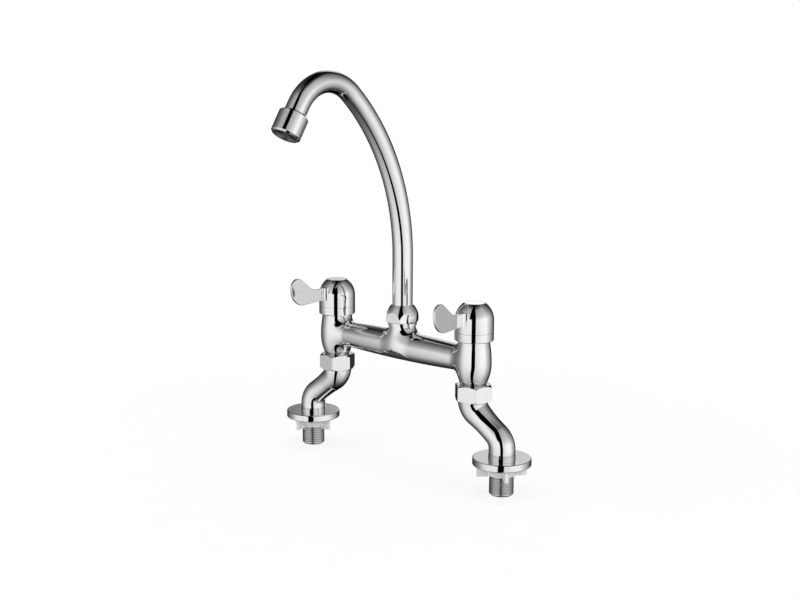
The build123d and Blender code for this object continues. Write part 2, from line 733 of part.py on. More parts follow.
# ---- spout ---------------------------------------------------------------------------------
spout_plane = Plane(origin=(0, 0, 0), x_dir=(0, -1, 0), z_dir=(-1, 0, 0))
with BuildPart() as spout_tube:
    with BuildLine(spout_plane) as neck:
        foot_run = Line((0, spout_z), (0, spout_z + spout_straight))
        rising = JernArc(foot_run @ 1, foot_run % 1, neck_large_radius, -neck_large_turn)
        crest = JernArc(rising @ 1, rising % 1, neck_small_radius,
                        -(180 - outlet_tilt - neck_large_turn))
        Line(crest @ 1, (crest @ 1) + (crest % 1) * (outlet_straight + aerator_socket))
    with BuildSketch(level(0, spout_z)):
        Circle(spout_radius)
        Circle(spout_radius - spout_wall, mode=Mode.SUBTRACT)
    sweep(path=neck.line)
finish(spout_tube, "spout_tube")
flow = crest % 1
mouth = crest @ 1 + flow * outlet_straight      # where the outlet's housing begins

with BuildPart() as spout_spigot:
    ring_floor = tee_bore - 2 * spigot_ring_section - slip_gap
    stem = spout_radius - spout_wall - slip_gap
    plug = tee_bore - running_gap
    outline = [(spigot_bore, spigot_plug_z), (plug, spigot_plug_z)]
    for rise in spigot_ring_rises:
        outline += groove_outline(plug, ring_floor - slip_gap, spigot_plug_z + rise,
                                  spigot_ring_section)
    outline += [(plug, spigot_collar_z), (spigot_collar_radius, spigot_collar_z),
                (spigot_collar_radius, spout_z), (stem, spout_z),
                (stem, spout_z + spigot_stem_length), (spigot_bore, spout_z + spigot_stem_length)]
    turned(0, outline)
finish(spout_spigot, "spout_spigot")
finish(o_rings(0, ring_floor + spigot_ring_section, spigot_ring_section,
               [spigot_plug_z + rise for rise in spigot_ring_rises]), "spout_rings")
finish(plain_ring(level(0, spout_z + face_gap), spout_radius + running_gap,
                  tee_thread_radius - running_gap, slip_ring_thickness), "spout_slip_ring")

with BuildPart() as spout_nut:
    skirt_z = spout_nut_z + spout_nut_bevel + spout_nut_straight
    with BuildSketch(upright(0)):
        with BuildLine():
            Polyline((spout_nut_lip_radius, spout_nut_top), (0, spout_nut_top), (0, spout_nut_z),
                     (spout_nut_corner - spout_nut_bevel, spout_nut_z),
                     (spout_nut_corner, spout_nut_z + spout_nut_bevel),
                     (spout_nut_corner, skirt_z))
            ThreePointArc((spout_nut_corner, skirt_z),
                          ((spout_nut_corner + spout_nut_lip_radius) / 2 + spout_nut_swell,
                           (skirt_z + spout_nut_top) / 2), (spout_nut_lip_radius, spout_nut_top))
        make_face()
    revolve(axis=vertical(0))
    hex_trim(0, spout_nut_flats, spout_nut_z, spout_nut_top, spout_nut_turn)
    bored(0, tee_thread_radius + running_gap, spout_nut_z, spout_nut_shoulder)
    bored(0, spout_radius + running_gap, spout_nut_shoulder, spout_nut_top)
finish(spout_nut, "spout_nut")

# ---- outlet: everything here stands on the spout's slanted outlet axis -----------------------
outlet_plane = Plane(origin=mouth, x_dir=(1, 0, 0), z_dir=flow)
chamber = aerator_radius - aerator_wall
lip_depth = aerator_length - aerator_lip
mesh_depth = lip_depth - mesh_thickness
insert_depth = aerator_socket + aerator_washer_thickness + face_gap

with BuildPart() as aerator_housing:
    with BuildSketch(Plane(origin=mouth, x_dir=(1, 0, 0), z_dir=flow.cross(Vector(1, 0, 0)))):
        with BuildLine():
            socket = spout_radius + running_gap
            Polyline((socket, 0), (aerator_radius - aerator_shoulder, 0),
                     (aerator_radius, -aerator_shoulder),
                     (aerator_radius, small_edge - aerator_length),
                     (aerator_radius - small_edge, -aerator_length),
                     (aerator_lip_radius, -aerator_length),
                     (aerator_lip_radius, -lip_depth), (chamber, -lip_depth),
                     (chamber, -aerator_socket), (socket, -aerator_socket), close=True)
        make_face()
    revolve(axis=Axis(mouth, flow))
finish(aerator_housing, "aerator_housing")

finish(plain_ring(outlet_plane.offset(aerator_socket + slip_gap), aerator_washer_bore,
                  chamber - running_gap, aerator_washer_thickness), "aerator_washer")

with BuildPart() as aerator_insert:
    height = mesh_depth - insert_depth - slip_gap
    outer = chamber - running_gap
    with BuildSketch(outlet_plane.offset(insert_depth)):
        Circle(outer)
        Circle(outer - insert_rim, mode=Mode.SUBTRACT)
        Circle(insert_hub_radius)
        with PolarLocations(outer / 2, insert_vanes):
            Rectangle(outer - insert_rim, insert_vane_thickness)
    extrude(amount=height)
finish(aerator_insert, "aerator_insert")

with BuildPart() as aerator_mesh:
    with BuildSketch(outlet_plane.offset(mesh_depth)):
        Circle(chamber - running_gap)
        for radius, count in mesh_rings.items():
            with PolarLocations(radius, count):
                Circle(mesh_hole_radius, mode=Mode.SUBTRACT)
    extrude(amount=mesh_thickness)
finish(aerator_mesh, "aerator_mesh")
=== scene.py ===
"""Finishes a bridge kitchen faucet for a product picture: castings, outlet, finishes, studio."""

import math
import bmesh
import bpy
import numpy as np
from bpy.props import FloatProperty, FloatVectorProperty, IntProperty, PointerProperty
from mathutils import Matrix, Vector


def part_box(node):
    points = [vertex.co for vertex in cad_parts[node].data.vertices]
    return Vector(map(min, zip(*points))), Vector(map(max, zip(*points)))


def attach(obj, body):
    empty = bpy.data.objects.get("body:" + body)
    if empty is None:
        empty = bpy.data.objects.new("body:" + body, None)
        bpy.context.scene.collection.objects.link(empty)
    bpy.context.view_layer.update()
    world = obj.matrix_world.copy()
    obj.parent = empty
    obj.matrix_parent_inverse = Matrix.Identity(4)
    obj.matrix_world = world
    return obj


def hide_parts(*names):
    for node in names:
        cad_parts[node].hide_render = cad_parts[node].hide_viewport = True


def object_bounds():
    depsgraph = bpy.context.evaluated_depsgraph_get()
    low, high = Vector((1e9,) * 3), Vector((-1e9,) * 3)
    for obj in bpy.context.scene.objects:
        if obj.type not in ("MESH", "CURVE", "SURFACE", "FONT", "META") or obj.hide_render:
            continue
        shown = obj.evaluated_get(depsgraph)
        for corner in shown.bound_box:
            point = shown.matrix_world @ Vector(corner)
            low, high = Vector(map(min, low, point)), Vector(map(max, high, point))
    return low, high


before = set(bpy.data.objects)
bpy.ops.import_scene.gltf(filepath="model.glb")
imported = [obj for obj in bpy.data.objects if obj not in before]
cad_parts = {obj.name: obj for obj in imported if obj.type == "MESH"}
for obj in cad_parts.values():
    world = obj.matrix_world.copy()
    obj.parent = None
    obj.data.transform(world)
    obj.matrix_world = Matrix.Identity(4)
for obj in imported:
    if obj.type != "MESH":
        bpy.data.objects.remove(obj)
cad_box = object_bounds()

bl_info = {
    "name": "Bridge Faucet Finisher",
    "version": (1, 0, 0),
    "blender": (4, 5, 0),
    "location": "View3D > Sidebar > Faucet",
    "description": "Plates, details and lights a two-handle bridge faucet with a swan-neck spout",
    "category": "Object",
}

SIDES = ("left", "right")
# ---- sizes and colours a user would change ---------------------------------------------------
class FaucetPlating(bpy.types.PropertyGroup):
    tone: FloatVectorProperty(
        name="Plating tone", description="Colour of the polished plating",
        subtype="COLOR", size=4, min=0, max=1, default=(0.895, 0.90, 0.905, 1))
    shade: FloatVectorProperty(
        name="Haze tone", description="Colour where the polish is a little dull",
        subtype="COLOR", size=4, min=0, max=1, default=(0.82, 0.825, 0.83, 1))
    gloss: FloatProperty(
        name="Polish roughness", description="Roughness of the best polished spots",
        min=0, max=1, default=0.03)
    ripple: FloatProperty(
        name="Ripple depth", description="Height of the slow waves that polishing leaves",
        subtype="DISTANCE", unit="LENGTH", default=0.00005)


class FaucetCasting(bpy.types.PropertyGroup):
    neck_height: FloatProperty(
        name="Neck height", description="Lower end of the valve bodies, above the deck",
        subtype="DISTANCE", unit="LENGTH", default=0.0656)
    top_height: FloatProperty(
        name="Top height", description="Upper end of the valve bodies",
        subtype="DISTANCE", unit="LENGTH", default=0.1035)
    belly_height: FloatProperty(
        name="Belly height", description="Widest place of the valve bodies",
        subtype="DISTANCE", unit="LENGTH", default=0.0830)
    axis_height: FloatProperty(
        name="Tube height", description="Axis of the bridge tube",
        subtype="DISTANCE", unit="LENGTH", default=0.0858)
    collar_height: FloatProperty(
        name="Collar height", description="Lower edge of the collar on the boss",
        subtype="DISTANCE", unit="LENGTH", default=0.1043)
    neck_radius: FloatProperty(
        name="Neck radius", description="Valve body at its lower end",
        subtype="DISTANCE", unit="LENGTH", default=0.0110)
    belly_radius: FloatProperty(
        name="Belly radius", description="Valve body at its widest place",
        subtype="DISTANCE", unit="LENGTH", default=0.0152)
    top_radius: FloatProperty(
        name="Top radius", description="Valve body at its upper end",
        subtype="DISTANCE", unit="LENGTH", default=0.0132)
    tube_end: FloatProperty(
        name="Tube end radius", description="Bridge tube where it enters a valve body",
        subtype="DISTANCE", unit="LENGTH", default=0.0102)
    tube_middle: FloatProperty(
        name="Tube middle radius", description="Bridge tube under the spout",
        subtype="DISTANCE", unit="LENGTH", default=0.0127)
    boss_radius: FloatProperty(
        name="Boss radius", description="Upright boss that carries the spout",
        subtype="DISTANCE", unit="LENGTH", default=0.0116)
    root_blend: FloatProperty(
        name="Root blend", description="Soft blend between the tube and a valve body",
        subtype="DISTANCE", unit="LENGTH", default=0.0065)
    boss_blend: FloatProperty(
        name="Boss blend", description="Soft blend between the tube and the boss",
        subtype="DISTANCE", unit="LENGTH", default=0.0095)
    grain: FloatProperty(
        name="Mesh size", description="Edge length of the casting's mesh",
        subtype="DISTANCE", unit="LENGTH", default=0.0009)


class FaucetLegs(bpy.types.PropertyGroup):
    crank: FloatProperty(
        name="Crank", description="From a valve body's axis to its tail's axis",
        subtype="DISTANCE", unit="LENGTH", default=0.0295)
    turn: FloatProperty(
        name="Swing", description="How far both legs stand swung about the valve bodies",
        subtype="ANGLE", unit="ROTATION", default=math.radians(7.5))
    low: FloatProperty(
        name="Lower end", description="Top of the flange's hub, above the deck",
        subtype="DISTANCE", unit="LENGTH", default=0.0087)
    foot_height: FloatProperty(
        name="Foot corner", description="Height where the tail's axis meets the slanted run",
        subtype="DISTANCE", unit="LENGTH", default=0.0205)
    head_height: FloatProperty(
        name="Head corner", description="Height where the slanted run meets the body's axis",
        subtype="DISTANCE", unit="LENGTH", default=0.0443)
    top: FloatProperty(
        name="Upper end", description="Lower face of the union nut",
        subtype="DISTANCE", unit="LENGTH", default=0.0511)
    foot_curve: FloatProperty(
        name="Foot curve", description="Radius of the lower bend",
        subtype="DISTANCE", unit="LENGTH", default=0.016)
    head_curve: FloatProperty(
        name="Head curve", description="Radius of the upper bend",
        subtype="DISTANCE", unit="LENGTH", default=0.014)
    bore: FloatProperty(
        name="Bore radius", description="Waterway through a leg",
        subtype="DISTANCE", unit="LENGTH", default=0.0065)
    radii: FloatVectorProperty(
        name="Radii", description="Outer radius at even steps from the foot to the head",
        unit="LENGTH", size=9,
        default=(0.0113, 0.0113, 0.0109, 0.0105, 0.0104, 0.0107, 0.0115, 0.0124, 0.0132))


class FaucetOutlet(bpy.types.PropertyGroup):
    radius: FloatProperty(
        name="Housing radius", description="Outlet housing, outside",
        subtype="DISTANCE", unit="LENGTH", default=0.0123)
    shoulder: FloatProperty(
        name="Shoulder", description="Slope at the housing's upper edge",
        subtype="DISTANCE", unit="LENGTH", default=0.0016)
    bevel: FloatProperty(
        name="Rim bevel", description="Slope at the housing's lower edge",
        subtype="DISTANCE", unit="LENGTH", default=0.0013)
    lip_width: FloatProperty(
        name="Rim width", description="From the housing's outside to the grille's recess",
        subtype="DISTANCE", unit="LENGTH", default=0.0016)
    lip_depth: FloatProperty(
        name="Recess depth", description="How deep the grille lies in the rim",
        subtype="DISTANCE", unit="LENGTH", default=0.0014)
    bore: FloatProperty(
        name="Bore radius", description="Housing's bore around the spout",
        subtype="DISTANCE", unit="LENGTH", default=0.0091)
    groove: FloatProperty(
        name="Groove width", description="Gap around the spout at the housing's mouth",
        subtype="DISTANCE", unit="LENGTH", default=0.0007)
    ridges: IntProperty(
        name="Ridges", description="Round ridges on the outlet's face",
        min=2, max=12, default=6)


class FaucetStudio(bpy.types.PropertyGroup):
    place: FloatVectorProperty(
        name="Camera place", description="Where the camera stands, from the deck's midpoint",
        subtype="TRANSLATION", unit="LENGTH", size=3, default=(0.77331, -0.83341, 0.34477))
    aim: FloatVectorProperty(
        name="Camera aim", description="The camera's turn about X, Y and Z",
        subtype="EULER", unit="ROTATION", size=3,
        default=(math.radians(78.963), math.radians(-0.166), math.radians(43.542)))
    lens: FloatProperty(
        name="Lens", description="Focal length on a 36 mm sensor", min=10, default=59.09)
    shift: FloatVectorProperty(
        name="Camera shift", description="How far the picture is moved, in frame widths",
        size=2, default=(0.01524, 0.00497))
    azimuth: FloatProperty(
        name="Studio turn", description="Turn of the lit surroundings, from the front to +X",
        subtype="ANGLE", unit="ROTATION", default=math.radians(43.5))
    floor: FloatProperty(
        name="Floor radius", description="Radius of the pale floor",
        subtype="DISTANCE", unit="LENGTH", default=4.0)


# ---- shader maths as expressions ---------------------------------------------------------------
class Signal:
    """An output socket that can stand in a sum as if it were a number."""

    def __init__(self, sheet, socket):
        self.sheet = sheet
        self.socket = socket

    def _math(self, operation, first, second):
        return self.sheet.node("ShaderNodeMath", {"operation": operation}, {0: first, 1: second})

    def __add__(self, other):
        return self._math("ADD", self, other)

    def __radd__(self, other):
        return self._math("ADD", other, self)

    def __sub__(self, other):
        return self._math("SUBTRACT", self, other)

    def __rsub__(self, other):
        return self._math("SUBTRACT", other, self)

    def __mul__(self, other):
        return self._math("MULTIPLY", self, other)

    def __rmul__(self, other):
        return self._math("MULTIPLY", other, self)

    def __abs__(self):
        return self._math("ABSOLUTE", self, 0)

    def sine(self):
        return self._math("SINE", self, 0)

    def angle(self, across):
        """Angle of the direction that goes this far ahead and so far across."""
        return self._math("ARCTAN2", across, self)

    def step(self, low, high, bottom=0.0, top=1.0):
        """Rises smoothly from bottom to top while the value goes from low to high."""
        return self.sheet.node(
            "ShaderNodeMapRange", {"interpolation_type": "SMOOTHSTEP"},
            {"Value": self, "From Min": low, "From Max": high, "To Min": bottom, "To Max": top})


class Sheet:
    """A node tree, written one node at a time."""

    def __init__(self, tree):
        self.tree = tree
        tree.nodes.clear()

    def node(self, kind, settings=None, inputs=None, output=0):
        """Adds a node: its settings first, then the values or links of its sockets."""
        made = self.tree.nodes.new(kind)
        for key, value in (settings or {}).items():
            if key == "stops":
                elements = made.color_ramp.elements
                while len(elements) < len(value):
                    elements.new(1.0)
                for element, (place, level) in zip(elements, value):
                    element.position = place
                    element.color = (level, level, level, 1)
            else:
                setattr(made, key, value)
        for key, value in (inputs or {}).items():
            if isinstance(value, Signal):
                self.tree.links.new(value.socket, made.inputs[key])
            else:
                made.inputs[key].default_value = value
        return Signal(self, made.outputs[output])

    def colours(self, amount, low, high):
        """Blends two colours, which are the Mix node's inputs 6 and 7 and its output 2."""
        return self.node("ShaderNodeMix", {"data_type": "RGBA"}, {0: amount, 6: low, 7: high}, 2)

    def along(self, vector, direction):
        """How far a vector reaches in a direction."""
        return self.node("ShaderNodeVectorMath", {"operation": "DOT_PRODUCT"},
                         {0: vector, 1: direction}, "Value")

    def stretched(self, vector, scale):
        """The vector with each axis scaled."""
        return self.node("ShaderNodeVectorMath", {"operation": "MULTIPLY"},
                         {0: vector, 1: scale}, "Vector")

    def ramp(self, amount, stops):
        """A grey level read off along a row of (place, level) stops."""
        return self.node("ShaderNodeValToRGB", {"stops": stops}, {"Fac": amount}, "Color")

    def noise(self, vector, scale, detail, roughness=0.5):
        """Cloudy noise from 0 to 1, finer the larger the scale."""
        return self.node("ShaderNodeTexNoise", {}, {
            "Vector": vector, "Scale": scale, "Detail": detail, "Roughness": roughness})

    def bump(self, height, distance):
        """A normal tilted by a height that stands so many metres high."""
        return self.node("ShaderNodeBump", {}, {"Height": height, "Distance": distance}, "Normal")


def material(name, **fixed):
    """A new material, its sheet, its object-space coordinates and a way to end it."""
    made = bpy.data.materials.new(name)
    made.use_nodes = True
    sheet = Sheet(made.node_tree)
    place = sheet.node("ShaderNodeTexCoord", output="Object")

    def surface(**sockets):
        sockets = {key.replace("_", " "): value for key, value in {**fixed, **sockets}.items()}
        end(sheet, sheet.node("ShaderNodeBsdfPrincipled", {}, sockets, "BSDF"))
        return made

    return sheet, place, surface


def end(sheet, shader, kind="ShaderNodeOutputMaterial"):
    """Puts a shader on the tree's output."""
    last = sheet.tree.nodes.new(kind)
    sheet.tree.links.new(shader.socket, last.inputs["Surface"])


# ---- finishes -------------------------------------------------------------------------------
HAZE_TONE, HAZE_ROUGHNESS = 0.35, 0.03       # share of the haze tone, and added roughness


def polish(sheet, place):
    """What polishing leaves on all plating: slow waves and patches of haze."""
    waves = sheet.noise(place, scale=42.0, detail=1.0)
    haze = sheet.noise(place, scale=95.0, detail=4.0, roughness=0.6).step(0.35, 0.75)
    return waves, haze


def polished_plating(settings):
    """Mirror plating with slow polishing waves, haze and fine wiping marks."""
    mark_tone, mark_roughness, mark_height = 0.1, 0.02, 0.003
    sheet, place, surface = material("polished_plating", Metallic=1.0)
    waves, haze = polish(sheet, place)
    wiping = sheet.noise(sheet.stretched(place, (1.0, 1.0, 0.12)),
                         scale=900.0, detail=3.0, roughness=0.7)
    marks = wiping.step(0.55, 0.8)
    tone = sheet.colours(haze * HAZE_TONE + marks * mark_tone,
                         tuple(settings.tone), tuple(settings.shade))
    rough = settings.gloss + haze * HAZE_ROUGHNESS + marks * mark_roughness
    normal = sheet.bump(waves + wiping * mark_height, settings.ripple)
    return surface(Base_Color=tone, Roughness=rough, Normal=normal)


def leg_plating(settings):
    """Plating on a leg: mirror above the deck, satin and darker on the threaded tail."""
    thread_start = 0.0005, -0.001            # metres above the deck plane
    thread_grey, grit_height = (0.5, 0.5, 0.5, 1), 0.3
    sheet, place, surface = material("leg_plating", Metallic=1.0)
    thread = sheet.along(place, (0, 0, 1)).step(*thread_start)
    waves, haze = polish(sheet, place)
    grit = sheet.noise(place, scale=2600.0, detail=3.0, roughness=0.6)
    tone = sheet.colours(haze * HAZE_TONE, tuple(settings.tone), tuple(settings.shade))
    tone = sheet.colours(thread * (0.55 + grit * 0.3), tone, thread_grey)
    rough = settings.gloss + haze * HAZE_ROUGHNESS + thread * (0.16 + grit * 0.14)
    normal = sheet.bump(waves + thread * grit * grit_height, settings.ripple)
    return surface(Base_Color=tone, Roughness=rough, Normal=normal)


def turned_brass():
    """Bare brass with the rings a lathe leaves."""
    radians_per_metre, ring_depth = 9000.0, 0.00002          # one ring each 0.7 mm
    sheet, place, surface = material("turned_brass", Metallic=1.0)
    rings = (sheet.along(place, (0, 0, 1)) * radians_per_metre).sine()
    stain = sheet.noise(place, scale=140.0, detail=5.0, roughness=0.6)
    tone = sheet.colours(stain, (0.78, 0.58, 0.28, 1), (0.52, 0.36, 0.16, 1))
    return surface(Base_Color=tone, Roughness=0.22 + stain * 0.2,
                   Normal=sheet.bump(rings, ring_depth))


def plain_steel():
    """Cold-formed stainless with a fine grain."""
    sheet, place, surface = material("plain_steel", Metallic=1.0)
    grain = sheet.noise(sheet.stretched(place, (1.0, 1.0, 6.0)),
                        scale=700.0, detail=4.0, roughness=0.7)
    tone = sheet.colours(grain, (0.66, 0.66, 0.65, 1), (0.45, 0.45, 0.46, 1))
    return surface(Base_Color=tone, Roughness=0.24 + grain * 0.18,
                   Normal=sheet.bump(grain, distance=0.00002))


def outlet_steel_painted_shade():
    """Dull stainless of the outlet's face, its colour painted dark as painted shade for the recess
    it lies in, with random blotches.
    """
    sheet, place, surface = material("outlet_steel_painted_shade", Metallic=1.0)
    stain = sheet.noise(place, scale=420.0, detail=4.0, roughness=0.6)
    skin = sheet.noise(place, scale=2400.0, detail=3.0)
    # painted shade: both tones are dark steel standing in for the shade in the recess; the stain
    # noise only varies them at random
    tone = sheet.colours(stain, (0.16, 0.16, 0.165, 1), (0.24, 0.24, 0.245, 1))
    return surface(Base_Color=tone, Roughness=0.34 + stain * 0.2,
                   Normal=sheet.bump(skin, distance=0.00002))


def seal_rubber():
    """Moulded black rubber with bloom."""
    sheet, place, surface = material("seal_rubber", Specular_IOR_Level=0.35)
    bloom = sheet.noise(place, scale=220.0, detail=5.0, roughness=0.65)
    skin = sheet.noise(place, scale=1800.0, detail=3.0)
    tone = sheet.colours(bloom.step(0.45, 0.75), (0.018, 0.018, 0.02, 1), (0.06, 0.06, 0.062, 1))
    return surface(Base_Color=tone, Roughness=0.55 + bloom * 0.25,
                   Normal=sheet.bump(skin, distance=0.00003))


def lapped_ceramic():
    """Off-white alumina, lapped smooth."""
    sheet, place, surface = material("lapped_ceramic")
    speck = sheet.noise(place, scale=1500.0, detail=4.0, roughness=0.7)
    tone = sheet.colours(speck.step(0.5, 0.8), (0.88, 0.86, 0.82, 1), (0.72, 0.7, 0.66, 1))
    return surface(Base_Color=tone, Roughness=0.12 + speck * 0.08,
                   Normal=sheet.bump(speck, distance=0.000005))


def white_nylon():
    """Injection-moulded translucent nylon with a faint skin."""
    sheet, place, surface = material("white_nylon", Subsurface_Weight=0.2, Subsurface_Scale=0.003,
                                     Subsurface_Radius=(1.0, 1.0, 1.0))
    cloud = sheet.noise(place, scale=130.0, detail=3.0)
    skin = sheet.noise(place, scale=2200.0, detail=3.0, roughness=0.6)
    tone = sheet.colours(cloud, (0.93, 0.93, 0.92, 1), (0.86, 0.86, 0.85, 1))
    return surface(Base_Color=tone, Roughness=0.36 + skin * 0.16,
                   Normal=sheet.bump(skin, distance=0.00003))


def moulded_dark():
    """Dark grey moulded plastic."""
    sheet, place, surface = material("moulded_dark")
    skin = sheet.noise(place, scale=1900.0, detail=3.0, roughness=0.6)
    tone = sheet.colours(skin, (0.02, 0.02, 0.022, 1), (0.05, 0.05, 0.052, 1))
    return surface(Base_Color=tone, Roughness=0.3 + skin * 0.2,
                   Normal=sheet.bump(skin, distance=0.00003))


FINISHES = {}


def finish(key):
    """The material of that name, made once."""
    if key not in FINISHES:
        plating = bpy.context.scene.faucet_plating
        makers = {
            "chrome": lambda: polished_plating(plating), "leg": lambda: leg_plating(plating),
            "brass": turned_brass, "stainless": plain_steel, "outlet": outlet_steel_painted_shade,
            "rubber": seal_rubber, "ceramic": lapped_ceramic, "white_nylon": white_nylon,
            "dark_plastic": moulded_dark}
        FINISHES[key] = makers[key]()
    return FINISHES[key]


def coat(key, *nodes):
    """Gives CAD nodes a finish."""
    for name in nodes:
        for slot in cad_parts[name].material_slots:
            slot.link = "OBJECT"
            slot.material = finish(key)


# ---- pieces made here in place of CAD nodes -----------------------------------------------------
def seat(name, mesh, node, body, finish_key):
    """Makes a piece of a mesh: it takes a CAD node's place and moves with its body."""
    mesh.materials.append(finish(finish_key))
    made = bpy.data.objects.new(name, mesh)
    bpy.context.scene.collection.objects.link(made)
    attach(made, body)
    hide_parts(node)


def redrawn(name, node, body, finish_key, places, faces, corners, hidden):
    """A CAD node with some of its faces taken away and a new skin in their place.

    The new skin has places, faces and a normal for each face corner; hidden says which of the
    node's faces go, from their centres."""
    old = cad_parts[node].data
    points = np.array([vertex.co for vertex in old.vertices])
    polygons = [list(polygon.vertices) for polygon in old.polygons]
    centres = np.array([points[polygon].mean(axis=0) for polygon in polygons])
    old_normals = [Vector(corner.vector) for corner in old.corner_normals]
    shift = len(places)
    for polygon, gone in zip(old.polygons, hidden(centres)):
        if not gone:
            faces.append([index + shift for index in polygon.vertices])
            corners.extend(old_normals[corner] for corner in polygon.loop_indices)
    mesh = bpy.data.meshes.new(name)
    mesh.from_pydata(np.vstack((places, points)).tolist(), [], faces)
    used = bmesh.new()
    used.from_mesh(mesh)
    loose = [vertex for vertex in used.verts if not vertex.link_faces]
    bmesh.ops.delete(used, geom=loose, context="VERTS")
    used.to_mesh(mesh)
    used.free()
    mesh.polygons.foreach_set("use_smooth", [True] * len(mesh.polygons))
    mesh.normals_split_custom_set([tuple(normal) for normal in corners])
    seat(name, mesh, node, body, finish_key)


def turned_ring(shape, profile, place, hollow=False):
    """Adds a closed turned solid: profile pairs are radius and height along place's Z."""
    segments = 72
    rings = []
    for radius, height in profile:
        rings.append([shape.verts.new(place @ Vector((
            radius * math.cos(2 * math.pi * k / segments),
            radius * math.sin(2 * math.pi * k / segments), height))) for k in range(segments)])
    if hollow:
        rings.append(rings[0])
    for low, high in zip(rings, rings[1:]):
        for k in range(segments):
            follow = (k + 1) % segments
            shape.faces.new((low[k], low[follow], high[follow], high[k]))
    if not hollow:
        shape.faces.new(reversed(rings[0]))
        shape.faces.new(rings[-1])


def valve_axis(side):
    """Where a valve body's axis stands along X."""
    low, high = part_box(f"union_nut_{side}")
    return (low[0] + high[0]) / 2


# ---- the bridge as one casting -----------------------------------------------------------------
class Casting:
    """The bridge's outer shape as a field: zero on its skin, negative inside, in metres."""

    def __init__(self, sizes):
        self.sizes = sizes
        self.reach = valve_axis("right")

    def at_valve(self, x):
        """Whether a place along X belongs to a valve body and not to the spout's boss."""
        return abs(x) > self.reach / 2

    def barrel_radius(self, height):
        """A valve body's radius: one parabola above its belly and another below."""
        sizes = self.sizes
        belly, rise = sizes.belly_radius, height - sizes.belly_height
        upper = (belly - sizes.top_radius) / (sizes.top_height - sizes.belly_height) ** 2
        lower = (belly - sizes.neck_radius) / (sizes.belly_height - sizes.neck_height) ** 2
        return belly - np.where(rise > 0, upper, lower) * rise ** 2

    def tube_radius(self, along):
        """The bridge tube's radius, slimmer towards the valve bodies."""
        middle = self.sizes.tube_middle
        return middle - (middle - self.sizes.tube_end) * (along / self.reach) ** 2

    def solids(self, points):
        """Distances to the tube, the boss and the valve bodies, each by itself."""
        x, y, z = np.asarray(points).T
        axis_height = self.sizes.axis_height
        tube = np.hypot(y, z - axis_height) - self.tube_radius(x)
        boss = np.maximum(np.hypot(x, y) - self.sizes.boss_radius, axis_height - z)
        barrel = np.hypot(np.abs(x) - self.reach, y) - self.barrel_radius(z)
        return np.maximum(tube, np.abs(x) - self.reach), boss, barrel

    @staticmethod
    def blend(first, second, width):
        """The nearer of two distances, rounded off where they are closer than the width."""
        overlap = np.maximum(width - np.abs(first - second), 0) / width
        return np.minimum(first, second) - overlap ** 2 * width / 4

    def field(self, points):
        """Distance to the blended skin."""
        tube, boss, barrel = self.solids(points)
        middle = self.blend(tube, boss, self.sizes.boss_blend)
        return self.blend(middle, barrel, self.sizes.root_blend)

    def slope(self, points, step=1e-5):
        """How the field rises along X, Y and Z."""
        return np.stack([self.field(points + step * axis) - self.field(points - step * axis)
                         for axis in np.eye(3)], axis=1) / (2 * step)

    def settled(self, points, rounds=5):
        """The points moved onto the skin, and the skin's normals there."""
        for _ in range(rounds):
            slope = self.slope(points)
            pull = self.field(points) / (slope ** 2).sum(axis=1)
            points = points - slope * pull[:, None]
        slope = self.slope(points)
        return points, slope / np.linalg.norm(slope, axis=1)[:, None]

    def on_skin(self, centres):
        """Which faces of the CAD body the skin takes the place of."""
        edge, depth = 1e-5, 4e-4             # clear of the level ends, and of the bores' faces
        sizes, x, z = self.sizes, centres[:, 0], centres[:, 2]
        on_barrel = (z > sizes.neck_height + edge) & (z < sizes.top_height - edge)
        on_boss = z < sizes.collar_height - edge
        in_span = np.where(self.at_valve(x), on_barrel, on_boss)
        return in_span & (np.min(self.solids(centres), axis=0) > -depth)


def rough_casting(field, sizes):
    """The casting's solids, joined by a voxel remesh into one coarse mesh."""
    spare, steps = 0.0015, 24                # metres past the level ends; rings along a solid
    shape = bmesh.new()
    reach = field.reach
    lift = Matrix.Translation((0, 0, sizes.axis_height))
    along = [reach * (2 * k / steps - 1) for k in range(steps + 1)]
    turned_ring(shape, [(field.tube_radius(x), x) for x in along],
                lift @ Matrix.Rotation(math.pi / 2, 4, "Y"))
    turned_ring(shape, [(sizes.boss_radius, 0),
                        (sizes.boss_radius, sizes.collar_height + spare - sizes.axis_height)], lift)
    low, high = sizes.neck_height - spare, sizes.top_height + spare
    heights = [low + (high - low) * k / steps for k in range(steps + 1)]
    for way in (-1, 1):
        turned_ring(shape, [(float(field.barrel_radius(z)), z) for z in heights],
                    Matrix.Translation((way * reach, 0, 0)))
    mesh = bpy.data.meshes.new("casting_rough")
    shape.to_mesh(mesh)
    shape.free()
    rough = bpy.data.objects.new("casting_rough", mesh)
    bpy.context.scene.collection.objects.link(rough)
    remesh = rough.modifiers.new("casting", "REMESH")
    remesh.mode = "VOXEL"
    remesh.voxel_size = sizes.grain
    made = bpy.data.meshes.new_from_object(
        rough.evaluated_get(bpy.context.evaluated_depsgraph_get()))
    bpy.data.objects.remove(rough)
    bpy.data.meshes.remove(mesh)
    return made


